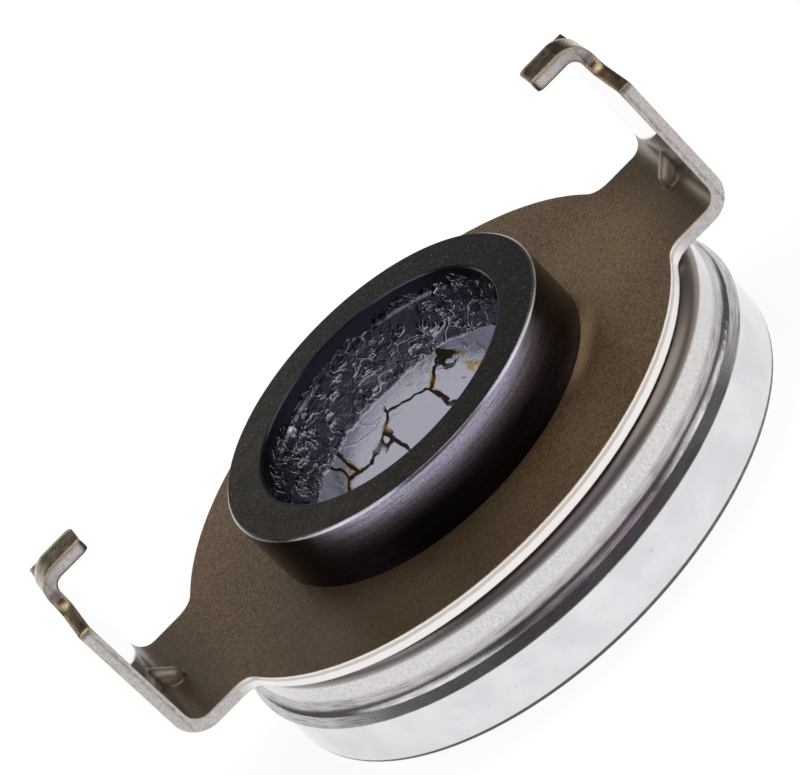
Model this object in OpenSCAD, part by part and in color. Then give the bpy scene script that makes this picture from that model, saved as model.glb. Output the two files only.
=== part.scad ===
// Self-aligning clutch release bearing on a stamped fork plate.
// The guide sleeve slides on the gearbox quill along +Z, the fork presses on the
// plate between its two hooked arms, and the ring at the bottom turns against the
// clutch. The bearing floats sideways under the plate to find the clutch's centre.

/* [Fork plate] */
// Thickness of the plate's sheet
sheet = 1.5; // [1.2:0.1:1.8]
// Radius of the plate's round middle
disc_r = 31.7; // [31:0.1:33.5]
// Width of each ear and of the arm that stands on it
ear_w = 20.2; // [16:0.2:24]
// Fillet between the round middle and an ear
ear_fillet_r = 2.5; // [1:0.1:4]
// Distance between the inner faces of the two arms
arm_span = 74.4; // [73:0.2:80]
// Inner radius of the bend from ear to arm
bend_r = 1.8; // [1:0.1:2.4]
// Height of the arm's square shoulders over the plate
shoulder_h = 16.1; // [14.5:0.1:16.2]
// Corner radius of a shoulder
shoulder_corner_r = 0.5; // [0.3:0.1:2]
// Width of the tongue that makes the hook
tongue_w = 3.7; // [3:0.1:7]
// Fillet between a shoulder and the tongue
tongue_root_r = 2.2; // [0.6:0.1:2.4]
// Height of the gap between plate and hook, for the fork's finger
hook_gap = 18.4; // [18.2:0.1:22]
// Inner radius of the bend from arm to hook
hook_bend_r = 1.2; // [0.6:0.1:1.6]
// Reach of the hook from the arm's inner face
hook_reach = 5.1; // [4:0.1:7]
// Corner radius of the hook's tip
hook_tip_r = 0.8; // [0.3:0.1:1.5]
// Radius of the round gusset that a punch presses into each bend
gusset_r = 1.25; // [1:0.05:1.6]
// Distance of the gusset's top from the inner corner that the bend rounds off
gusset_h = 2.35; // [2:0.05:2.8]
// Distance of the gusset's round nose below the middle of the bend
gusset_nose = 0.4; // [0:0.05:0.8]
// Radius of the dent that the punch leaves behind the gusset
gusset_dent_r = 0.7; // [0.4:0.1:0.9]
// Wall left between the gusset's top and its dent
gusset_wall = 1.2; // [1:0.1:1.4]

/* [Guide sleeve] */
// Diameter of the guide bore
bore_d = 30.4; // [29.6:0.1:31]
// Diameter of the shallow counterbore at the mouth
mouth_d = 31; // [30.6:0.1:31.6]
// Depth of the counterbore
mouth_depth = 2.2; // [1:0.1:3]
// Wall of the tube below the plate
tube_wall = 2; // [1.6:0.1:2.4]
// Diameter of the collar above the plate
collar_d = 40.6; // [38:0.2:43]
// Height of the collar above the plate
collar_h = 7.5; // [5:0.1:9]
// Chamfer on the collar's outer edge
collar_chamfer = 0.25; // [0.2:0.05:0.8]
// Height of the tube's lower end above the contact face
tube_end_h = 0.3; // [0.2:0.1:3]
// Chamfer on the tube's lower end and the bore's mouth
tube_chamfer = 0.2; // [0.1:0.1:0.5]

/* [Floating mount] */
// Sideways play of the bearing in X and in Y, each way from the centre
float_play = 1.3; // [1.3:0.1:1.6]
// Shift of the bearing along X from the sleeve's axis, as it lies
float_rest = 1.25; // [-1.3:0.05:1.3]
// Free space left around the float at its corners
float_margin = 0.15; // [0.1:0.05:0.3]
// Overlap of the support washer under the inner ring's flange
washer_hold = 1.55; // [0.8:0.05:2]
// Thickness of the support washer
washer_t = 1; // [0.8:0.1:1.6]
// Thickness of the retaining ring
retainer_t = 1.2; // [1:0.1:1.6]
// Height of the retaining ring over the tube's side
retainer_stand = 1.5; // [1:0.1:1.8]
// Depth of the retaining ring's groove
groove_depth = 0.7; // [0.5:0.1:0.9]
// Width of the retaining ring's open gap
retainer_gap = 7; // [4:0.5:12]
// Thickness of the disc spring's sheet
spring_t = 0.5; // [0.4:0.05:0.6]
// Rise of the disc spring's cone
spring_rise = 0.6; // [0.4:0.05:1]

/* [Bearing] */
// Diameter of a ball
ball_d = 6; // [5.7:0.05:6.4]
// Number of balls
ball_count = 18; // [14:1:20]
// Angle of the contact line through a ball
contact_angle = 45; // [40:1:50]
// Raceway radius as a share of the ball's diameter
conformity = 0.52; // [0.515:0.005:0.53]
// Wall of the inner ring behind its raceway
inner_wall = 1.5; // [1.3:0.1:2]
// Wall of the outer ring outside the balls
outer_wall = 2; // [1.8:0.1:2.6]
// Floor of the outer ring under the balls
outer_floor = 2; // [1.8:0.1:2.6]
// Height of the outer ring's side
ring_h = 6.35; // [6:0.05:6.6]
// Edge radius at the outer ring's lower rim
ring_edge_r = 0.6; // [0.3:0.1:0.9]
// Height of the contact nose below the ring
nose_h = 1.5; // [1.2:0.1:2.2]
// Width of the contact nose
nose_w = 3.4; // [3:0.1:4.4]
// Edge radius of the contact nose
nose_edge_r = 1.1; // [0.6:0.1:1.2]
// Thickness of the inner ring's sliding flange
flange_t = 1.5; // [1.2:0.1:2]
// Thickness of the cage's band
cage_t = 1.4; // [1.2:0.1:1.6]
// Length of the cage's band above the ball centres
cage_up = 4.2; // [4:0.1:4.3]
// Length of the cage's band below the ball centres
cage_down = 2.6; // [2.4:0.1:2.8]
// Free height over the raceways for the cage's rim
cage_room = 0.9; // [0.8:0.1:1.2]
// Height of the front seal
seal_h = 1.5; // [1.2:0.1:1.8]
// Width of the front seal between inner and outer ring
seal_w = 1.2; // [1:0.1:1.6]
// Thickness of the front seal's lip and of its wall
seal_lip_t = 0.5; // [0.4:0.1:0.7]
// Step of the inner ring's skirt over the raceway's bottom
skirt_step = 0.3; // [0.2:0.05:0.5]
// Height of the skirt's lower end over the ring's lower face
skirt_end_h = 0.3; // [0.1:0.1:0.6]
// Reach of the inner raceway past the top of the balls
race_lap = 0.8; // [0.4:0.1:1]

/* [Dust cover] */
// Thickness of the cover's sheet
cover_t = 0.8; // [0.7:0.05:0.9]
// Height of the cover from its lip to its top
cover_h = 7; // [6.9:0.1:8]
// Step from the outer ring's side in to the cover's wall
cover_step = 0.55; // [0.3:0.05:0.8]
// Outer radius of the cover's rounded shoulder
shoulder_r = 2.1; // [1.6:0.1:2.4]
// Hollow radius where the wall flares out
flare_r = 1.7; // [1.2:0.1:2.2]
// Angle to which the flare opens from the wall
flare_angle = 50; // [40:1:60]
// Height of the lip below the flare
lip_h = 1.2; // [0.8:0.1:1.5]
// Overhang of the lip over the outer ring's side
lip_over = 0.55; // [0.3:0.05:0.8]
// Radius of the cover's hole
cover_hole_r = 25; // [24.5:0.1:26]

/* [Clearances] */
// Gap of faces that slide on each other
slide_gap = 0.05; // [0.03:0.01:0.08]
// Radial gap of parts that are pushed together
push_gap = 0.02; // [0.01:0.01:0.04]
// Gap between a ball and its raceways along the contact line
ball_gap = 0.04; // [0.03:0.01:0.06]
// Gap between a ball and its cage pocket
pocket_gap = 0.12; // [0.08:0.02:0.2]
// Gap between the seal's lip and the inner ring
seal_gap = 0.08; // [0.05:0.01:0.1]
// Gap between the cover's lip and the outer ring
lip_gap = 0.3; // [0.2:0.05:0.5]

/* [Hidden] */
$fn = 96;
eps = 0.01;

// Radii from the sleeve's axis outwards
bore_r = bore_d / 2;
tube_r = bore_r + tube_wall;
float_r = float_play * sqrt(2) + float_margin;
flange_hole_r = tube_r + float_r;
washer_r = flange_hole_r + washer_hold;
inner_bore_r = washer_r + float_r;
ball_r = ball_d / 2;
pitch_r = inner_bore_r + inner_wall + ball_r;
ring_r = pitch_r + ball_r + outer_wall;
race_r = conformity * ball_d;
race_shift = race_r - ball_r - ball_gap;
skirt_r = inner_bore_r + inner_wall + skirt_step;
ring_bore_r = skirt_r + seal_w;
cover_r = ring_r - cover_step;
lip_r = ring_r + lip_over;
arm_x = arm_span / 2;

// Heights from the contact face upwards
ring_top = nose_h + ring_h;
ball_z = nose_h + outer_floor + ball_r;
lip_z = ring_top + lip_gap;
unit_top = lip_z + cover_h;
hollow = [cover_r + flare_r, lip_z + lip_h + flare_r * sin(flare_angle)];
plate_z = unit_top + slide_gap;
plate_top = plate_z + sheet;
flange_z = unit_top - flange_t;
spring_h = spring_rise + spring_t;
washer_z = flange_z - 2 * slide_gap - spring_h - washer_t;
retainer_z = washer_z - retainer_t;
sleeve_top = plate_top + collar_h;
seat_z = unit_top - cover_t;
web_z = ball_z + race_r + cage_room;
skirt_z = nose_h + skirt_end_h;

function ball_name(i) = str("ball_", i < 10 ? "0" : "", i);

// Rectangle between two radii and two heights of a turned section
module band(r1, r2, z1, z2) {
    translate([r1, z1]) square([r2 - r1, z2 - z1]);
}

// Filled corner that turns a sharp inside corner at the origin into a fillet of radius r
module inside_fillet(r) {
    difference() {
        square(r);
        translate([r, r]) circle(r);
    }
}

// Quarter of a bent sheet with inner radius r, from straight down to straight out
module bend_section(r) {
    intersection() {
        difference() {
            circle(r + sheet);
            circle(r);
        }
        translate([0, -r - sheet]) square(r + sheet);
    }
}

// Places what belongs to the floating bearing on its own axis
module on_bearing_axis() {
    translate([float_rest, 0, 0]) children();
}

// Flat blank of the plate: a disc with two ears and filleted corners
module plate_blank() {
    half_w = ear_w / 2;
    corner_x = sqrt(pow(disc_r + ear_fillet_r, 2) - pow(half_w + ear_fillet_r, 2));
    corner_y = half_w + ear_fillet_r;
    on_disc = disc_r / (disc_r + ear_fillet_r);
    circle(disc_r);
    translate([bend_r - arm_x, -half_w]) square([2 * (arm_x - bend_r), ear_w]);
    for (sx = [-1, 1], sy = [-1, 1]) scale([sx, sy]) difference() {
        polygon([
            [corner_x, corner_y], [corner_x * on_disc, corner_y * on_disc],
            [corner_x * on_disc, 0], [corner_x, 0]
        ]);
        translate([corner_x, corner_y]) circle(ear_fillet_r);
    }
}

// Side section of an arm: bend up from the ear, upright, bend in, hook
module arm_section() {
    hook_x = arm_x - hook_bend_r;
    hook_z = hook_gap - hook_bend_r;
    translate([arm_x - bend_r, bend_r]) bend_section(bend_r);
    translate([arm_x, bend_r]) square([sheet, hook_z - bend_r]);
    translate([hook_x, hook_z]) rotate(90) bend_section(hook_bend_r);
    translate([arm_x - hook_reach, hook_gap]) square([hook_reach - hook_bend_r, sheet]);
}

// Front outline of an arm: square shoulders with a narrow tongue between them
module arm_outline() {
    half_w = ear_w / 2;
    half_tongue = tongue_w / 2;
    corner_y = half_w - shoulder_corner_r;
    corner_z = shoulder_h - shoulder_corner_r;
    translate([-half_w, -sheet]) square([ear_w, corner_z + sheet]);
    translate([-corner_y, 0]) square([2 * corner_y, shoulder_h]);
    translate([-half_tongue, 0]) square([tongue_w, hook_gap + 2 * sheet]);
    for (s = [-1, 1]) scale([s, 1]) {
        translate([corner_y, corner_z]) circle(shoulder_corner_r);
        translate([half_tongue, shoulder_h]) inside_fillet(tongue_root_r);
    }
}

// Plan of an arm: cut to the hook's length, with the tip's corners rounded
module arm_plan() {
    tip_x = arm_x - hook_reach;
    corner_y = tongue_w / 2 - hook_tip_r;
    translate([tip_x + hook_tip_r, -ear_w]) square([hook_reach + 2 * sheet, 2 * ear_w]);
    translate([tip_x, -corner_y]) square([hook_tip_r + eps, 2 * corner_y]);
    for (s = [-1, 1]) translate([tip_x + hook_tip_r, s * corner_y]) circle(hook_tip_r);
}

// One arm on the +X side, with its ear's top face at height 0
module arm() {
    intersection() {
        rotate([90, 0, 0]) linear_extrude(ear_w, center = true) arm_section();
        rotate([90, 0, 90]) linear_extrude(2 * arm_x) arm_outline();
        translate([0, 0, -2 * sheet]) linear_extrude(hook_gap + 6 * sheet) arm_plan();
    }
}

// Dent of the round-nosed punch, driven into a bend from outside at 45 degrees
module gusset_dent() {
    foot = 2 * (bend_r + sheet);
    centre = gusset_h - gusset_wall - gusset_dent_r;
    translate([arm_x, 0, 0]) rotate([0, -45, 0]) {
        translate([0, 0, centre]) sphere(gusset_dent_r);
        translate([0, 0, -foot]) cylinder(r = gusset_dent_r, h = foot + centre);
    }
}

// Round-nosed rib inside a bend that leans up to the arm, rooted a little under the sheet's faces
module gusset_rib() {
    root = sheet / 4;
    reach = 2 * gusset_h + root;
    intersection() {
        translate([arm_x, 0, 0]) rotate([0, -45, 0]) translate([-gusset_nose, 0, gusset_h - gusset_r]) {
            sphere(gusset_r);
            rotate([0, 90, 0]) cylinder(r = gusset_r, h = reach + gusset_nose);
        }
        translate([arm_x + root - reach, -2 * gusset_r, -root]) cube([reach, 4 * gusset_r, reach]);
    }
}

// Stamped plate that the fork pushes, with an arm and a hook at each end
module fork_plate() {
    color([0.35, 0.3, 0.24]) difference() {
        translate([0, 0, plate_top]) {
            translate([0, 0, -sheet]) linear_extrude(sheet) plate_blank();
            for (turn = [0, 180]) rotate(turn) {
                arm();
                gusset_rib();
            }
        }
        cylinder(r = tube_r + push_gap, h = 2 * plate_top);
        translate([0, 0, plate_top]) for (turn = [0, 180]) rotate(turn) gusset_dent();
    }
}

// Turned sleeve: a collar on the plate and a tube through plate and bearing
module guide_sleeve() {
    groove_r = tube_r - groove_depth;
    collar_r = collar_d / 2;
    mouth_r = mouth_d / 2;
    color([0.13, 0.12, 0.12]) rotate_extrude() difference() {
        union() {
            band(bore_r, tube_r, tube_end_h, plate_top + eps);
            polygon([
                [bore_r, plate_top], [collar_r, plate_top],
                [collar_r, sleeve_top - collar_chamfer],
                [collar_r - collar_chamfer, sleeve_top], [bore_r, sleeve_top]
            ]);
        }
        polygon([
            [0, sleeve_top + eps], [mouth_r + tube_chamfer + eps, sleeve_top + eps],
            [mouth_r, sleeve_top - tube_chamfer], [mouth_r, sleeve_top - mouth_depth],
            [bore_r, sleeve_top - mouth_depth - mouth_r + bore_r], [0, sleeve_top - mouth_depth]
        ]);
        band(groove_r, tube_r + eps, retainer_z - slide_gap, retainer_z + retainer_t + slide_gap);
        polygon([
            [tube_r - tube_chamfer, tube_end_h - eps], [tube_r + eps, tube_end_h - eps],
            [tube_r + eps, tube_end_h + tube_chamfer]
        ]);
    }
}

// Flat washer on the tube, under the disc spring
module support_washer() {
    color([0.55, 0.55, 0.56]) rotate_extrude()
        band(tube_r + push_gap, washer_r, washer_z, washer_z + washer_t);
}

// Open spring ring in the tube's groove, which carries the washer
module retaining_ring() {
    groove_r = tube_r - groove_depth;
    color([0.25, 0.25, 0.27]) difference() {
        rotate_extrude()
            band(groove_r + push_gap, tube_r + retainer_stand, retainer_z, retainer_z + retainer_t);
        translate([0, -retainer_gap / 2, retainer_z - eps])
            cube([2 * tube_r, retainer_gap, retainer_t + 2 * eps]);
    }
}

// Conical spring that presses the floating flange against the plate
module disc_spring() {
    spring_in = tube_r + float_play + float_margin;
    spring_out = inner_bore_r - float_play - float_margin;
    spring_z = washer_z + washer_t + slide_gap;
    color([0.4, 0.41, 0.44]) on_bearing_axis() rotate_extrude() polygon([
        [spring_in, spring_z], [spring_out, spring_z + spring_rise],
        [spring_out, spring_z + spring_h], [spring_in, spring_z + spring_t]
    ]);
}

// Standing race: flange that slides under the plate, seat for the cover, raceway
module inner_ring() {
    web_r = cover_r - cover_t - push_gap;
    web_chamfer = shoulder_r - cover_t;
    slope = [-sin(contact_angle), cos(contact_angle)];
    color([0.62, 0.62, 0.64]) on_bearing_axis() rotate_extrude() difference() {
        union() {
            band(flange_hole_r, cover_hole_r - push_gap, flange_z, unit_top);
            band(inner_bore_r, skirt_r, skirt_z, unit_top);
            band(skirt_r - eps, pitch_r + race_lap, ball_z, seat_z);
            polygon([
                [skirt_r - eps, web_z], [web_r, web_z], [web_r, seat_z - web_chamfer],
                [web_r - web_chamfer, seat_z], [skirt_r - eps, seat_z]
            ]);
        }
        translate([pitch_r, ball_z] - race_shift * slope) circle(race_r);
    }
}

// Space under the flare and lip, drawn in from the cover's outside by a wall
module flared_space(wall, over) {
    crease = hollow + (flare_r + wall) * [-cos(flare_angle), -sin(flare_angle)];
    rim = [lip_r - wall, lip_z - over];
    difference() {
        polygon([
            [cover_hole_r, rim[1]], rim, crease + (crease - rim) / 4,
            hollow + [0, over], [cover_hole_r, hollow[1] + over]
        ]);
        translate(hollow) circle(flare_r + wall);
    }
}

// Pressed shell over the inner ring, flared to a lip over the outer ring
module dust_cover() {
    wall_in = cover_r - cover_t;
    round_x = cover_r - shoulder_r;
    round_z = unit_top - shoulder_r;
    color([0.78, 0.77, 0.76]) on_bearing_axis() rotate_extrude() {
        band(cover_hole_r, round_x, seat_z, unit_top);
        intersection() {
            translate([round_x, round_z]) difference() {
                circle(shoulder_r);
                circle(shoulder_r - cover_t);
            }
            band(round_x - eps, cover_r + eps, round_z - eps, unit_top + eps);
        }
        band(wall_in, cover_r, hollow[1] - eps, round_z);
        difference() {
            flared_space(0, 0);
            flared_space(cover_t, eps);
        }
    }
}

// Turning race: polished side, raceway under the balls, flat contact nose
module outer_ring() {
    nose_in = ring_bore_r;
    nose_out = ring_bore_r + nose_w;
    slope = [sin(contact_angle), -cos(contact_angle)];
    color([0.87, 0.87, 0.89]) on_bearing_axis() rotate_extrude() difference() {
        union() {
            band(ring_bore_r, ring_r - ring_edge_r, nose_h, ring_top);
            band(ring_bore_r, ring_r, nose_h + ring_edge_r, ring_top);
            translate([ring_r - ring_edge_r, nose_h + ring_edge_r]) circle(ring_edge_r);
            band(nose_in + nose_edge_r, nose_out - nose_edge_r, 0, nose_h + eps);
            band(nose_in, nose_out, nose_edge_r, nose_h + eps);
            for (r = [nose_in + nose_edge_r, nose_out - nose_edge_r])
                translate([r, nose_edge_r]) circle(nose_edge_r);
        }
        translate([pitch_r, ball_z] - race_shift * slope) circle(race_r);
    }
}

// Rubber ring in the outer ring's bore, with its lip close to the inner ring
module front_seal() {
    seal_z = skirt_z + slide_gap;
    color([0.1, 0.1, 0.1]) on_bearing_axis() rotate_extrude() polygon([
        [skirt_r + seal_gap, seal_z], [ring_bore_r, seal_z],
        [ring_bore_r, seal_z + seal_h], [ring_bore_r - seal_lip_t, seal_z + seal_h],
        [ring_bore_r - seal_lip_t, seal_z + seal_lip_t], [skirt_r + seal_gap, seal_z + seal_lip_t]
    ]);
}

// Centre of ball i on the pitch circle
module at_ball(i) {
    on_bearing_axis() rotate((i - 1) * 360 / ball_count) translate([pitch_r, 0, ball_z]) children();
}

// Conical band across the contact lines, with a round pocket for each ball
module cage() {
    color([0.75, 0.68, 0.5]) difference() {
        on_bearing_axis() rotate_extrude() translate([pitch_r, ball_z]) rotate(contact_angle)
            translate([-cage_down, -cage_t / 2]) square([cage_down + cage_up, cage_t]);
        for (i = [1:ball_count]) at_ball(i) sphere(ball_r + pocket_gap);
    }
}

// One bearing ball
module ball(i) {
    color([0.8, 0.8, 0.82]) at_ball(i) sphere(ball_r);
}

fork_plate();
guide_sleeve();
support_washer();
retaining_ring();
disc_spring();
inner_ring();
dust_cover();
outer_ring();
front_seal();
cage();
for (i = [1:ball_count]) ball(i);
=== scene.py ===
import math

import bmesh
import bpy
from mathutils import Matrix, Vector


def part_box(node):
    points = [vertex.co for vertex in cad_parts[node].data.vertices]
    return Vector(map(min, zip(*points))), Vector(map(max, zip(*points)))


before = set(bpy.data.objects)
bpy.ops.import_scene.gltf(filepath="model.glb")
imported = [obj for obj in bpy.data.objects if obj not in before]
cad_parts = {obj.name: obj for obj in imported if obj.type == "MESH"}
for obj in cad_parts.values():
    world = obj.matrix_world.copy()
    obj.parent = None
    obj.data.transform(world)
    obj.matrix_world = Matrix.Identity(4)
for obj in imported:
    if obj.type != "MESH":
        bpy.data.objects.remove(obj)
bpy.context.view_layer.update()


# Guide sleeve: a turned steel tube with a thick collar, black oxide all over. The lathe's
# marks still show on its side, and a wrinkled dark film with a wet gloss lies in its bore.
sleeve_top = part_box("guide_sleeve")[1].z * 1000
collar_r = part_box("guide_sleeve")[1].x * 1000
collar_chamfer = 0.3
bore_edge_r = 15.9
film_depth = 1.8
film_drift = 2.4
smooth_depth = 8.7
blur = 0.05

# A pair of sizes, in millimetres, runs from where a finish begins to where it is full
edge_depth = 2, 1
sheen_depth = 4.8, 0.6
sheen_width = 18, 9
end_highlight_width = 5, 17
lit_face_x = 8, -18

# A pair of colours runs from dark to light
oxide_side = (0.01, 0.0085, 0.012, 1), (0.06, 0.052, 0.075, 1)
sheen_side = (0.2, 0.185, 0.25, 1), (0.52, 0.48, 0.63, 1)
oxide_face = (0.003, 0.0023, 0.0018, 1), (0.032, 0.024, 0.017, 1)
lit_face = (0.02, 0.0148, 0.0088, 1), (0.15, 0.113, 0.07, 1)
face_cloud = (0.008, 0.006, 0.004, 1)
face_fleck = (0.36, 0.29, 0.19, 1)
oxide_bore = (0.045, 0.04, 0.055, 1)
bare_steel = (0.92, 0.89, 0.85, 1)
wrinkled_film = (0.075, 0.078, 0.098, 1), (0.5, 0.51, 0.56, 1)
smooth_film = (0.36, 0.365, 0.425, 1)
stained_film = (0.3, 0.22, 0.11, 1)
torn_film = (0.03, 0.022, 0.016, 1)


def start_finish(name):
    """A new material: itself, its node tree and its Principled shader."""
    finish = bpy.data.materials.new(name)
    finish.use_nodes = True
    return finish, finish.node_tree, finish.node_tree.nodes["Principled BSDF"]


def feed(tree, socket, value):
    """Sets an input, or links an output to it."""
    if isinstance(value, bpy.types.NodeSocket):
        tree.links.new(value, socket)
    else:
        socket.default_value = value


def connect(tree, inputs, **values):
    """Feeds inputs by name, with an underscore for each space."""
    for key, value in values.items():
        feed(tree, inputs[key.replace("_", " ")], value)


def place(tree, kind, *sockets, **settings):
    """Adds a node. Each socket is a pair of an input and the value or the output that feeds it."""
    made = tree.nodes.new("ShaderNode" + kind)
    for key, value in settings.items():
        setattr(made, key, value)
    for key, value in sockets:
        feed(tree, made.inputs[key], value)
    return made


def calc(tree, operation, *values):
    """One step of arithmetic on numbers and outputs."""
    return place(tree, "Math", *enumerate(values), operation=operation).outputs[0]


def times(tree, first, *others):
    """The product of numbers and outputs."""
    for other in others:
        first = calc(tree, "MULTIPLY", first, other)
    return first


def largest(tree, first, *others):
    """The largest of numbers and outputs."""
    for other in others:
        first = calc(tree, "MAXIMUM", first, other)
    return first


def without(tree, share):
    """What a share leaves of 1."""
    return calc(tree, "SUBTRACT", 1, share)


def rise(tree, value, low, high):
    """0 below low, 1 above high, and smooth between them; the other way round if low is larger."""
    sockets = [("Value", value), ("From Min", low), ("From Max", high)]
    return place(tree, "MapRange", *sockets, interpolation_type="SMOOTHSTEP").outputs[0]


def tint(tree, share, low, high):
    """The colour low where share is 0 and high where it is 1."""
    sockets = [(0, share), (6, low), (7, high)]
    return place(tree, "Mix", *sockets, data_type="RGBA").outputs[2]


def between(tree, share, low, high):
    """The number low where share is 0 and high where it is 1."""
    return place(tree, "Mix", (0, share), (2, low), (3, high)).outputs[0]


def millimetres(tree):
    """Object coordinates in millimetres."""
    spot = place(tree, "TexCoord").outputs["Object"]
    return place(tree, "VectorMath", (0, spot), ("Scale", 1000), operation="SCALE").outputs[0]


def parts(tree, vector):
    """The X, Y and Z of a vector."""
    return place(tree, "SeparateXYZ", (0, vector)).outputs


def noise(tree, vector, **settings):
    """Random patches, with the settings of the noise node."""
    return place(tree, "TexNoise", ("Vector", vector), *settings.items()).outputs


def relief(tree, height, depth, strength, **normal):
    """A normal that shows a height as a relief, with its depth in millimetres."""
    made = place(tree, "Bump", ("Height", height), ("Distance", depth / 1000), ("Strength", strength))
    connect(tree, made.inputs, **normal)
    return made.outputs[0]


def start_group(name, inputs, outputs):
    """A node group, with a dict of number inputs and their defaults and a dict of outputs and their kinds."""
    group = bpy.data.node_groups.new(name, "ShaderNodeTree")
    for key, value in inputs.items():
        socket = group.interface.new_socket(key, in_out="INPUT", socket_type="NodeSocketFloat")
        socket.default_value = value
    for key, kind in outputs.items():
        group.interface.new_socket(key, in_out="OUTPUT", socket_type="NodeSocket" + kind)
    return group, group.nodes.new("NodeGroupInput").outputs, group.nodes.new("NodeGroupOutput").inputs


def use_group(tree, group, **values):
    """Places a group in a material, with this material's own values."""
    made = place(tree, "Group", node_tree=group)
    connect(tree, made.inputs, **values)
    return made.outputs


def dress(material, *nodes):
    """Gives the material to CAD nodes."""
    for name in nodes:
        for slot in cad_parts[name].material_slots:
            slot.material = material


# Lathe marks: fine lines round an axis, closer on sides than on faces
side_closeness = 1.618
lathe_marks, given, result = start_group(
    "lathe marks",
    {"Axis X": 0, "Lines": 6, "Breaks": 3},
    {"Radius": "Float", "Height": "Float", "Marks": "Float"})
where = parts(lathe_marks, millimetres(lathe_marks))
side_x = calc(lathe_marks, "SUBTRACT", where["X"], given["Axis X"])
square_x = calc(lathe_marks, "POWER", side_x, 2)
square_y = calc(lathe_marks, "POWER", where["Y"], 2)
radius = calc(lathe_marks, "SQRT", calc(lathe_marks, "ADD", square_x, square_y))
run = calc(lathe_marks, "MULTIPLY_ADD", where["Z"], side_closeness, radius)
run = times(lathe_marks, run, given["Lines"])
turn_x = times(lathe_marks, calc(lathe_marks, "DIVIDE", side_x, radius), given["Breaks"])
turn_y = times(lathe_marks, calc(lathe_marks, "DIVIDE", where["Y"], radius), given["Breaks"])
along = place(lathe_marks, "CombineXYZ", (0, run), (1, turn_x), (2, turn_y)).outputs[0]
lines = noise(lathe_marks, along, Scale=1, Detail=3, Roughness=0.6)[0]
connect(lathe_marks, result, Radius=radius, Height=where["Z"], Marks=lines)

# Worn edges: where a sharp edge lies within reach, and the normal as if it were a little rounded
worn_edges, given, result = start_group(
    "worn edges",
    {"Reach": 0.2},
    {"Edge": "Float", "Normal": "Vector"})
reach = times(worn_edges, given["Reach"], 0.001)
rounded = place(worn_edges, "Bevel", ("Radius", reach), samples=6).outputs[0]
flat = place(worn_edges, "NewGeometry").outputs["Normal"]
likeness = place(worn_edges, "VectorMath", (0, rounded), (1, flat), operation="DOT_PRODUCT")
wear_and_painted_glow = rise(worn_edges, likeness.outputs["Value"], 0.995, 0.9)
connect(worn_edges, result, Edge=wear_and_painted_glow, Normal=rounded)

# Grain: fine speckle and broad blotches
grain, given, result = start_group(
    "grain",
    {"Fine": 9, "Broad": 0.25},
    {"Speckle": "Float", "Blotch": "Float"})
spot = millimetres(grain)
speckle = noise(grain, spot, Scale=given["Fine"], Detail=4, Roughness=0.7)[0]
blotch = noise(grain, spot, Scale=given["Broad"], Detail=3)[0]
connect(grain, result, Speckle=rise(grain, speckle, 0.3, 0.7), Blotch=rise(grain, blotch, 0.3, 0.7))

# The oxide: streaked on the side, speckled on the end face, rubbed off along the chamfer; light painted on
# all
black_oxide, tree, shader = start_finish("black oxide")
marks = use_group(tree, lathe_marks, Lines=8, Breaks=4)
edge = use_group(tree, worn_edges, Reach=0.12)
spots = use_group(tree, grain, Fine=4, Broad=0.14)
clouds = use_group(tree, grain, Fine=1.6, Broad=0.5)
spot = millimetres(tree)
across = parts(tree, spot)["X"]
off_axis = calc(tree, "ABSOLUTE", across)
depth = calc(tree, "SUBTRACT", sleeve_top, marks["Height"])
in_bore = rise(tree, marks["Radius"], bore_edge_r + blur, bore_edge_r - blur)
outside = without(tree, in_bore)
face_r = collar_r - collar_chamfer
on_face = times(tree, rise(tree, marks["Radius"], face_r + blur, face_r - blur), outside)
on_chamfer = times(tree, rise(tree, depth, collar_chamfer, collar_chamfer - 0.06),
                   rise(tree, marks["Radius"], collar_r - 0.2, collar_r - 0.12))

streak = rise(tree, calc(tree, "MULTIPLY_ADD", spots["Speckle"], 0.25, marks["Marks"]), 0.35, 0.9)
# Painted sheen: the side is lighter and purple near its top and towards the front and back, as if it
# reflected the floor
painted_sheen = times(tree, rise(tree, depth, *sheen_depth), rise(tree, off_axis, *sheen_width))
side = tint(tree, painted_sheen, tint(tree, streak, *oxide_side), tint(tree, streak, *sheen_side))
# Painted light: the end face is lighter towards -X, as if lit from that side, broken by random blotches
painted_lit_side = times(tree, rise(tree, across, *lit_face_x), between(tree, spots["Blotch"], 0.6, 1))
face = tint(tree, spots["Speckle"], *oxide_face)
face = tint(tree, painted_lit_side, face, tint(tree, spots["Speckle"], *lit_face))
face = tint(tree, times(tree, clouds["Blotch"], 0.65), face, face_cloud)
fleck = rise(tree, calc(tree, "MULTIPLY_ADD", clouds["Speckle"], 0.2, spots["Speckle"]), 0.9, 1.15)
face = tint(tree, fleck, face, face_fleck)
coat = tint(tree, in_bore, tint(tree, on_face, side, face), oxide_bore)
at_top = times(tree, outside, rise(tree, depth, *edge_depth))
sharp_edge = times(tree, edge["Edge"], at_top, between(tree, spots["Blotch"], 0.55, 1))
bare_chamfer = times(tree, on_chamfer, between(tree, spots["Blotch"], 0.25, 0.75))
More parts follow.
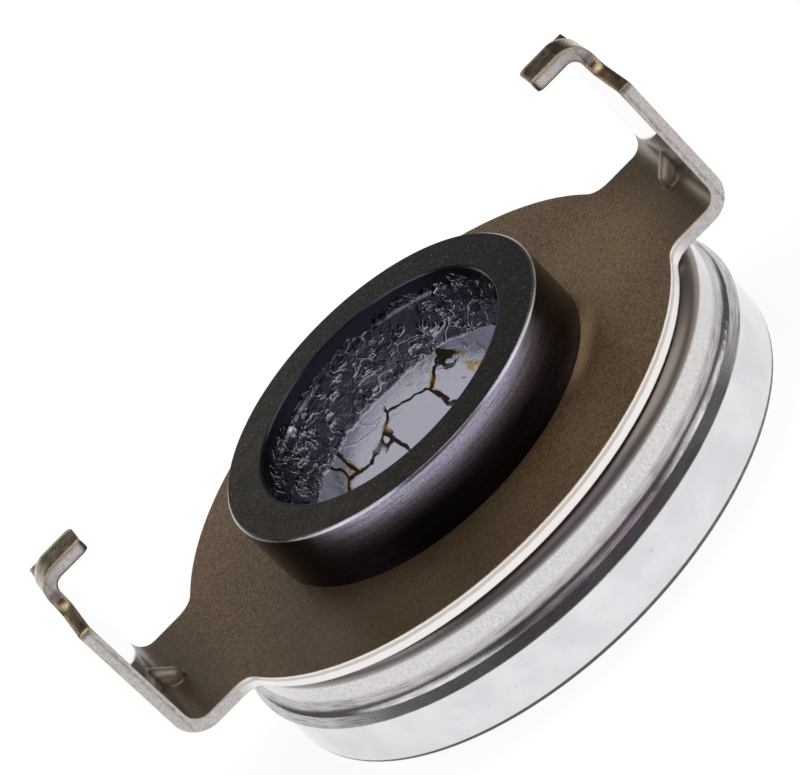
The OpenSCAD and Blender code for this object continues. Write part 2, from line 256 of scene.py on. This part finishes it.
# The bare steel along the top edge and chamfer is wear; its strength, faint in the middle and full towards
# both sides, is a painted highlight
painted_end_highlight = between(tree, rise(tree, off_axis, *end_highlight_width), 0.3, 1)
bare_and_highlit_edge = times(tree, largest(tree, sharp_edge, bare_chamfer), painted_end_highlight)
coat = tint(tree, bare_and_highlit_edge, coat, bare_steel)
side_gloss = between(tree, marks["Marks"], 0.26, 0.16)
coat_gloss = between(tree, on_face, side_gloss, between(tree, spots["Speckle"], 0.42, 0.28))
coat_gloss = between(tree, bare_and_highlit_edge, coat_gloss, 0.5)
coat_height = between(tree, on_face, marks["Marks"], spots["Speckle"])
coat_normal = relief(tree, coat_height, 0.01, 0.4, Normal=edge["Normal"])

# The film: wrinkled below the mouth, smooth and cracked further down
drift = noise(tree, spot, Scale=0.35, Detail=3, Distortion=0.4)
bent = place(tree, "VectorMath", (0, drift["Color"]), (1, (film_drift, film_drift, film_drift)), (2, spot),
             operation="MULTIPLY_ADD").outputs[0]


def frayed(amount):
    """The depth, moved to and fro by the drift so that a border is ragged."""
    return calc(tree, "MULTIPLY_ADD", drift[0], amount, calc(tree, "SUBTRACT", depth, amount / 2))


def creases(scale, width, distortion):
    """Thin folds of the film that wander and cross."""
    field = noise(tree, bent, Scale=scale, Detail=1.5, Distortion=distortion)[0]
    return rise(tree, calc(tree, "ABSOLUTE", calc(tree, "SUBTRACT", field, 0.5)), width, 0)


in_film = times(tree, in_bore, rise(tree, frayed(4), film_depth - 0.2, film_depth + 0.2))
smooth = rise(tree, frayed(2), smooth_depth - 0.25, smooth_depth + 0.15)
swell = noise(tree, bent, Scale=0.35, Detail=2)[0]
folds = creases(0.24, 0.028, 0.7)
crinkles = times(tree, creases(0.55, 0.045, 0.5), rise(tree, swell, 0.42, 0.58))
puckers = noise(tree, bent, Scale=1.1, Detail=3, Distortion=0.6)[0]
wrinkles = calc(tree, "MULTIPLY_ADD", folds, 0.6, times(tree, swell, 1.1))
wrinkles = calc(tree, "MULTIPLY_ADD", crinkles, 0.4, wrinkles)
wrinkles = calc(tree, "MULTIPLY_ADD", puckers, 0.5, wrinkles)
split = place(tree, "TexVoronoi", ("Vector", bent), ("Scale", 0.15), feature="DISTANCE_TO_EDGE").outputs[0]
split_at = rise(tree, noise(tree, spot, Scale=0.16)[0], 0.44, 0.52)
torn = times(tree, rise(tree, split, 0.032, 0.016), split_at, smooth)
stain = times(tree, rise(tree, split, 0.075, 0.03), rise(tree, swell, 0.52, 0.6), smooth)
film = tint(tree, times(tree, largest(tree, folds, crinkles), 0.6), *wrinkled_film)
film = tint(tree, smooth, film, smooth_film)
film = tint(tree, stain, film, stained_film)
film = tint(tree, torn, film, torn_film)
film_gloss = between(tree, torn, 0.06, 0.4)
film_height = times(tree, wrinkles, between(tree, smooth, 1, 0.035))
film_height = calc(tree, "SUBTRACT", film_height, times(tree, torn, 0.5))
connect(tree, shader.inputs,
        Base_Color=tint(tree, in_film, coat, film),
        Metallic=1,
        Roughness=between(tree, in_film, coat_gloss, film_gloss),
        Normal=relief(tree, times(tree, film_height, in_film), 0.25, 0.8, Normal=coat_normal))
dress(black_oxide, "guide_sleeve")


# Fork plate: one stamping of thin steel sheet with a matt brown conversion coat. The cut
# edges are bare and pitted, and the plate is pushed on the sleeve up to its collar.
sheet = 1.5
hook_gap = 18.4
plate_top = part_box("fork_plate")[1].z * 1000 - hook_gap - sheet
disc_reach = 31.0
disc_blur = 1.5
arm_in = 37.2
bend_r = 1.8
rib_r = 1.25

lying_lift = 0.15, 0.08
standing_lift = 1.6, 2.4
hook_lift = 14, 16
rib_end = 3.4, 2.4
rib_near_y = 2.6, 2
rib_near_lift = 5, 4
sharp_reach, round_reach = 0.2, 0.75
shade_patch = (-15, -22, plate_top)
shade_patch_r = 27, 8
shaded_ear_x = 28, 35
right_glow_spot = (24, 0, plate_top)
right_glow_spot_r = 14, 3
collar_glow_patch = (17.2, -11.5, plate_top)
collar_glow_patch_r = 8, 2
collar_glow_width = 2.4, 0.2
rim_line = (0.15, 0.35), (0.75, 0.55)
arm_line = (0.25, 0.4), (0.7, 0.5)

brown_coat = (0.039, 0.0235, 0.0105, 1), (0.345, 0.219, 0.114, 1)
painted_shade_coat = (0.056, 0.04, 0.026, 1)
blotched_coat = (0.172, 0.124, 0.07, 1)
painted_glow_coat = (0.2, 0.132, 0.066, 1), (0.62, 0.415, 0.215, 1)
collar_glow_coat = (0.5, 0.34, 0.17, 1), (1, 0.69, 0.36, 1)
drawn_coat_and_highlight = (0.42, 0.35, 0.28, 1)
hook_steel = (0.16, 0.12, 0.08, 1), (0.46, 0.36, 0.23, 1)
rubbed_steel = (0.8, 0.8, 0.81, 1)
rim_steel, rim_line_steel = (0.84, 0.81, 0.79, 1), (0.55, 0.51, 0.48, 1)
arm_steel, arm_line_steel = ((0.43, 0.405, 0.395, 1), (0.6, 0.57, 0.56, 1)), (0.2, 0.175, 0.16, 1)
gilt_edge_highlight = (0.82, 0.6, 0.34, 1)

brown_sheet, tree, shader = start_finish("brown coated sheet")
spots = use_group(tree, grain, Fine=5, Broad=0.1)
pits = use_group(tree, grain, Fine=5, Broad=0.9)
from_axis = use_group(tree, lathe_marks)["Radius"]
spot = millimetres(tree)
where = parts(tree, spot)
facing = parts(tree, place(tree, "NewGeometry").outputs["True Normal"])
out_x, out_y = calc(tree, "ABSOLUTE", where["X"]), calc(tree, "ABSOLUTE", where["Y"])
lift = calc(tree, "SUBTRACT", where["Z"], plate_top)


def looking(axis):
    """How far a face looks along an axis, either way."""
    return calc(tree, "ABSOLUTE", facing[axis])


def from_point(point):
    """Millimetres to a point on the plate."""
    return place(tree, "VectorMath", (0, spot), (1, point), operation="DISTANCE").outputs["Value"]


def stripe(level, start, end):
    """A line that begins and ends at these levels."""
    return times(tree, rise(tree, level, *start), rise(tree, level, *end))


lying = rise(tree, lift, *lying_lift)
standing = rise(tree, lift, *standing_lift)
on_hook = rise(tree, lift, *hook_lift)
inside = rise(tree, out_x, arm_in + 0.3, arm_in + 0.1)
in_bend = times(tree, stripe(lift, (0.02, 0.5), (bend_r + 1, bend_r - 0.2)), inside)
on_rib = times(tree, rise(tree, out_y, rib_r + 0.06, rib_r + 0.02),
               stripe(lift, (0.02, 0.4), rib_end), inside)
near_rib = times(tree, rise(tree, out_y, *rib_near_y), rise(tree, lift, *rib_near_lift),
                 rise(tree, out_x, arm_in - 4.2, arm_in - 3.6))
edge = use_group(tree, worn_edges,
                 Reach=between(tree, largest(tree, on_hook, near_rib), sharp_reach, round_reach))
rim = times(tree, lying, rise(tree, looking("Z"), 0.3, 0.1))
round_rim = times(tree, rim, rise(tree, out_x, disc_reach + disc_blur, disc_reach - disc_blur))
sides = times(tree, rise(tree, looking("Y"), 0.75, 0.9), without(tree, on_rib))
cut = largest(tree, rim, sides)
rubbed = times(tree, rise(tree, looking("X"), 0.85, 0.97), inside, standing)

coat = tint(tree, spots["Speckle"], *brown_coat)
# Painted shade: the coat is darker in front of the sleeve on the left and on both ears towards the bends
painted_plate_shade = largest(tree, rise(tree, from_point(shade_patch), *shade_patch_r), rise(tree, out_x, *shaded_ear_x))
coat = tint(tree, times(tree, painted_plate_shade, 0.6), coat, painted_shade_coat)
coat = tint(tree, times(tree, spots["Blotch"], 0.25), coat, blotched_coat)
# Painted highlight: a golden patch on the plate to the right of the sleeve, standing in for reflected light
wear_and_painted_glow = rise(tree, from_point(right_glow_spot), *right_glow_spot_r)
coat = tint(tree, times(tree, wear_and_painted_glow, 0.5), coat, tint(tree, spots["Speckle"], *painted_glow_coat))
# Painted glow: a bright golden strip round the foot of the collar on its front right
from_collar = calc(tree, "SUBTRACT", from_axis, collar_r)
painted_collar_glow = times(tree, rise(tree, from_collar, *collar_glow_width), rise(tree, from_point(collar_glow_patch), *collar_glow_patch_r))
coat = tint(tree, times(tree, painted_collar_glow, 0.9), coat, tint(tree, spots["Speckle"], *collar_glow_coat))
# The rib and the bend are lighter: partly the stretched coat, partly a painted highlight on the rib
drawn = largest(tree, times(tree, on_rib, 0.75), times(tree, in_bend, 0.35))
coat = tint(tree, drawn, coat, drawn_coat_and_highlight)
coat = tint(tree, on_hook, coat, tint(tree, pits["Blotch"], *hook_steel))
coat = tint(tree, rubbed, coat, rubbed_steel)

wave = calc(tree, "MULTIPLY_ADD", pits["Blotch"], 0.16, -0.08)
rim_level = calc(tree, "SUBTRACT", times(tree, wave, 0.4), lift)
rim_colour = tint(tree, stripe(rim_level, *rim_line), rim_steel, rim_line_steel)
arm_level = calc(tree, "ADD", calc(tree, "SUBTRACT", out_x, arm_in), wave)
arm_pitted = times(tree, stripe(arm_level, *arm_line), between(tree, pits["Blotch"], 0.2, 0.7))
arm_colour = tint(tree, arm_pitted, tint(tree, pits["Speckle"], *arm_steel), arm_line_steel)
colour = tint(tree, cut, coat, tint(tree, round_rim, arm_colour, rim_colour))
# The gilt along the edges is partly wear and partly a painted highlight, stronger on the hooks
painted_gilt_highlight = between(tree, on_hook, between(tree, spots["Blotch"], 0.55, 0.95), 0.45)
painted_gilt_highlight = times(tree, edge["Edge"], painted_gilt_highlight, without(tree, near_rib))
bare = largest(tree, cut, rubbed, on_hook, edge["Edge"])
coat_gloss = between(tree, on_hook, between(tree, spots["Speckle"], 0.46, 0.3), 0.16)
coat_gloss = between(tree, in_bend, coat_gloss, 0.24)
coat_gloss = between(tree, rubbed, coat_gloss, 0.1)
cut_gloss = between(tree, round_rim, between(tree, pits["Speckle"], 0.45, 0.3), 0.2)
height = times(tree, between(tree, cut, spots["Speckle"], pits["Speckle"]), without(tree, rubbed))
connect(tree, shader.inputs,
        Base_Color=tint(tree, painted_gilt_highlight, colour, gilt_edge_highlight),
        Metallic=between(tree, bare, 0.45, 1),
        Roughness=between(tree, cut, coat_gloss, cut_gloss),
        Specular_IOR_Level=0.25,
        Normal=relief(tree, height, 0.02, 0.35, Normal=edge["Normal"]))
dress(brown_sheet, "fork_plate")


# Inner ring: the standing race of ground bearing steel. Its flange slides under the plate,
# and its web carries the dust cover.
bearing_x = sum(corner.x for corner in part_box("outer_ring")) * 500
ground_race = (0.5, 0.5, 0.51, 1), (0.62, 0.62, 0.63, 1)

ground_steel, tree, shader = start_finish("ground bearing steel")
marks = use_group(tree, lathe_marks, Axis_X=bearing_x, Lines=12, Breaks=8)
edge = use_group(tree, worn_edges, Reach=0.12)
connect(tree, shader.inputs,
        Base_Color=tint(tree, marks["Marks"], *ground_race),
        Metallic=1,
        Roughness=between(tree, marks["Marks"], 0.2, 0.34),
        Normal=relief(tree, marks["Marks"], 0.005, 0.4, Normal=edge["Normal"]))
dress(ground_steel, "inner_ring")


# Balls: bearing steel, hardened and lapped to a mirror. They run between the two rings, and
# the cage holds them at even steps.
lapped_ball = (0.66, 0.66, 0.68, 1), (0.74, 0.74, 0.76, 1)

lapped_steel, tree, shader = start_finish("lapped ball steel")
spots = use_group(tree, grain, Fine=5, Broad=0.6)
connect(tree, shader.inputs,
        Base_Color=tint(tree, spots["Blotch"], *lapped_ball),
        Metallic=1,
        Roughness=between(tree, spots["Speckle"], 0.05, 0.12))
dress(lapped_steel, *[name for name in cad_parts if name.startswith("ball_")])


# Cage: one ring of natural polyamide with a pocket for each ball. It is moulded, and it rides
# on the balls.
natural_polyamide = (0.56, 0.46, 0.26, 1), (0.64, 0.54, 0.33, 1)

moulded_cage, tree, shader = start_finish("moulded polyamide")
spots = use_group(tree, grain, Fine=4, Broad=0.3)
connect(tree, shader.inputs,
        Base_Color=tint(tree, spots["Blotch"], *natural_polyamide),
        Roughness=between(tree, spots["Speckle"], 0.42, 0.58),
        Normal=relief(tree, spots["Speckle"], 0.01, 0.3))
dress(moulded_cage, "cage")


# Outer ring: the turning race of bearing steel with a ground and polished side. Its rounded
# nose below is the face that presses on the clutch's fingers.
ring_r = (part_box("outer_ring")[1].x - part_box("outer_ring")[0].x) * 500
shade_edge_top = 2.2
shade_edge_width = 0.65, 0.55
polished_side = (0.67, 0.665, 0.69, 1), (0.76, 0.755, 0.78, 1)
dull_speck = (0.5, 0.49, 0.5, 1)
painted_dark_edge = (0.12, 0.1, 0.085, 1)

polished_steel, tree, shader = start_finish("polished ring steel")
marks = use_group(tree, lathe_marks, Axis_X=bearing_x, Lines=10, Breaks=6)
edge = use_group(tree, worn_edges, Reach=0.12)
spots = use_group(tree, grain, Fine=1.6, Broad=0.2)
speck = rise(tree, spots["Speckle"], 0.93, 1)
# Painted shade: the lower edge is dark, standing in for the shaded floor under the ring that it reflects
painted_shade_edge = times(tree, rise(tree, marks["Height"], shade_edge_top, shade_edge_top - 0.12),
                   rise(tree, calc(tree, "SUBTRACT", ring_r, marks["Radius"]), *shade_edge_width))
colour = tint(tree, times(tree, speck, 0.5), tint(tree, spots["Blotch"], *polished_side), dull_speck)
connect(tree, shader.inputs,
        Base_Color=tint(tree, painted_shade_edge, colour, painted_dark_edge),
        Metallic=1,
        Roughness=between(tree, painted_shade_edge, between(tree, marks["Marks"], 0.1, 0.2), 0.4),
        Normal=relief(tree, marks["Marks"], 0.004, 0.25, Normal=edge["Normal"]))
dress(polished_steel, "outer_ring")


# Front seal: a ring of black nitrile rubber between the two races. It is moulded, and pressed
# into the outer ring's bore.
nitrile = (0.018, 0.018, 0.019, 1), (0.035, 0.034, 0.034, 1)

black_rubber, tree, shader = start_finish("black nitrile rubber")
spots = use_group(tree, grain, Fine=8, Broad=0.4)
connect(tree, shader.inputs,
        Base_Color=tint(tree, spots["Blotch"], *nitrile),
        Roughness=between(tree, spots["Speckle"], 0.5, 0.7),
        Normal=relief(tree, spots["Speckle"], 0.01, 0.3))
dress(black_rubber, "front_seal")


# Dust cover: a shell drawn from thin steel sheet, pressed on the inner ring's web. Its side is satin,
# its shoulder dull, with painted shade and a painted brown reflection, and its turned lip flares out over the
# outer ring.
flare_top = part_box("dust_cover")[0].z * 1000 + 3.4
flare_blur = 0.8
shoulder_r = 2.1
shoulder_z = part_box("dust_cover")[1].z * 1000 - shoulder_r
plate_reflection_x = 4, 20
satin_side = (0.52, 0.5, 0.5, 1), (0.77, 0.75, 0.745, 1)
satin_blotch = (0.66, 0.645, 0.64, 1)
turned_flare = (0.22, 0.2, 0.2, 1), (0.54, 0.51, 0.52, 1)
painted_shade_grey, painted_plate_reflection = (0.33, 0.31, 0.305, 1), (0.25, 0.21, 0.18, 1)

satin_sheet, tree, shader = start_finish("satin drawn sheet")
marks = use_group(tree, lathe_marks, Axis_X=bearing_x, Lines=1.5, Breaks=200)
turned = use_group(tree, lathe_marks, Axis_X=bearing_x, Lines=6, Breaks=10)
edge = use_group(tree, worn_edges, Reach=0.12)
spots = use_group(tree, grain, Fine=3, Broad=0.3)
on_flare = rise(tree, marks["Height"], flare_top, flare_top - flare_blur)
on_shoulder = rise(tree, marks["Height"], shoulder_z + 0.1, shoulder_z + 0.5)
side = tint(tree, rise(tree, marks["Marks"], 0.25, 0.75), *satin_side)
flare = tint(tree, rise(tree, turned["Marks"], 0.3, 0.7), *turned_flare)
colour = tint(tree, times(tree, spots["Blotch"], 0.4), tint(tree, on_flare, side, flare), satin_blotch)
across = parts(tree, millimetres(tree))["X"]
# Painted shade and reflection: the shoulder is darker, and browner towards +X, as if it reflected the brown
# plate
painted_shoulder_shade = tint(tree, rise(tree, across, *plate_reflection_x), painted_shade_grey, painted_plate_reflection)
side_gloss = between(tree, spots["Speckle"], 0.14, 0.24)
flare_gloss = between(tree, turned["Marks"], 0.36, 0.16)
gloss = between(tree, on_flare, side_gloss, flare_gloss)
connect(tree, shader.inputs,
        Base_Color=tint(tree, on_shoulder, colour, painted_shoulder_shade),
        Metallic=1,
        Roughness=between(tree, on_shoulder, gloss, 0.36),
        Normal=relief(tree, marks["Marks"], 0.01, 0.35, Normal=edge["Normal"]))
dress(satin_sheet, "dust_cover")


# Disc spring, support washer and retaining ring: stampings of blued spring steel on the
# sleeve's tube, which hold the bearing's flange up against the plate.
blued_steel = (0.16, 0.165, 0.185, 1), (0.28, 0.285, 0.31, 1)
worn_blue = (0.5, 0.5, 0.52, 1)

spring_steel, tree, shader = start_finish("blued spring steel")
marks = use_group(tree, lathe_marks, Lines=5, Breaks=6)
spots = use_group(tree, grain, Fine=5, Broad=0.3)
edge = use_group(tree, worn_edges, Reach=0.1)
connect(tree, shader.inputs,
        Base_Color=tint(tree, edge["Edge"], tint(tree, marks["Marks"], *blued_steel), worn_blue),
        Metallic=1,
        Roughness=between(tree, spots["Speckle"], 0.28, 0.42),
        Normal=relief(tree, spots["Speckle"], 0.01, 0.3, Normal=edge["Normal"]))
dress(spring_steel, "disc_spring", "support_washer", "retaining_ring")


# Stage: a wide white floor just under the contact face. It glows for the camera and in
# reflections, and keeps the part's shadow. Its sizes are in metres.
floor_drop = 0.00004
floor_reach = 6.0
glow_away = 0.3, 1.6
glow_level = 0.84, 1
floor_grey = (0.32, 0.32, 0.32, 1)

mesh = bmesh.new()
floor_place = Matrix.Translation((0, 0, -floor_drop))
bmesh.ops.create_grid(mesh, x_segments=1, y_segments=1, size=floor_reach, matrix=floor_place)
floor_mesh = bpy.data.meshes.new("floor")
mesh.to_mesh(floor_mesh)
mesh.free()
floor = bpy.data.objects.new("floor", floor_mesh)
bpy.context.scene.collection.objects.link(floor)

white_floor, tree, shader = start_finish("white floor")
tree.nodes.remove(shader)
rays = place(tree, "LightPath").outputs
seen = largest(tree, rays["Is Camera Ray"], rays["Is Glossy Ray"], rays["Is Transmission Ray"])
spot = place(tree, "TexCoord").outputs["Object"]
away = place(tree, "VectorMath", (0, spot), operation="LENGTH").outputs["Value"]
level = between(tree, rise(tree, away, *glow_away), *glow_level)
glow = place(tree, "Emission", ("Strength", times(tree, seen, level))).outputs[0]
matt = place(tree, "BsdfDiffuse", ("Color", floor_grey)).outputs[0]
both = place(tree, "AddShader", (0, glow), (1, matt)).outputs[0]
feed(tree, tree.nodes["Material Output"].inputs["Surface"], both)
floor_mesh.materials.append(white_floor)


# Lights: soft boxes in front, at both sides and overhead, a small card behind, and a dim
# room all round. Sizes are in metres and angles in degrees.
room_front, room_back = (0.07, 0.066, 0.07, 1), (0.1, 0.098, 0.096, 1)


def direction(azimuth, elevation):
    """The way from the part to a light or to the camera; azimuth 0 is the front."""
    turn, lift = math.radians(azimuth), math.radians(elevation)
    return Vector((math.sin(turn) * math.cos(lift), -math.cos(turn) * math.cos(lift), math.sin(lift)))


def soft_box(name, azimuth, elevation, size, level, distance=0.8, colour=(1, 1, 1)):
    """An area light that looks at the part; level is its brightness as seen from there."""
    width, height = size
    lamp = bpy.data.lights.new(name, "AREA")
    lamp.shape = "RECTANGLE"
    lamp.size = width
    lamp.size_y = height
    lamp.energy = level * math.pi * width * height
    lamp.color = colour
    box = bpy.data.objects.new(name, lamp)
    away = direction(azimuth, elevation)
    turned = away.to_track_quat("Z", "Y").to_matrix().to_4x4()
    box.matrix_world = Matrix.Translation(away * distance) @ turned
    box.visible_camera = False
    bpy.context.scene.collection.objects.link(box)


soft_box("front box", 8, 44, size=(0.7, 0.36), level=0.52, colour=(1, 0.79, 0.98))
soft_box("left box", -80, 42, size=(0.6, 0.6), level=1.4)
soft_box("right box", 80, 42, size=(0.6, 0.6), level=1.4)
soft_box("top box", 180, 80, size=(0.6, 0.6), level=1.6)
soft_box("back card", -166, 12, size=(0.3, 0.14), level=0.8, distance=0.34)

room = bpy.data.worlds.new("room")
room.use_nodes = True
tree = room.node_tree
toward = parts(tree, place(tree, "TexCoord").outputs["Generated"])
dim = tint(tree, rise(tree, toward["Y"], -0.4, 0.7), room_front, room_back)
feed(tree, tree.nodes["Background"].inputs["Color"], dim)
bpy.context.scene.world = room


# Camera: a long lens that looks down on the collar from the front. It is rolled, so that the
# sleeve's axis leans to the left.
eye = Vector((-0.00136, -0.43765, 0.23909))
back = direction(-0.35, 26.37)
roll = math.radians(45.14)
right = (-back).cross(Vector((0, 0, 1))).normalized()
down = (-back).cross(right)
image_right = math.cos(roll) * right + math.sin(roll) * down
image_up = math.sin(roll) * right - math.cos(roll) * down

lens = bpy.data.cameras.new("camera")
lens.sensor_fit = "HORIZONTAL"
lens.sensor_width = 36
lens.lens = 216
lens.clip_start = 0.01
lens.clip_end = 50
camera = bpy.data.objects.new("camera", lens)
turned = Matrix((image_right, image_up, back)).transposed().to_4x4()
camera.matrix_world = Matrix.Translation(eye) @ turned
bpy.context.scene.collection.objects.link(camera)
bpy.context.scene.camera = camera
bpy.context.scene.view_settings.view_transform = "Standard"
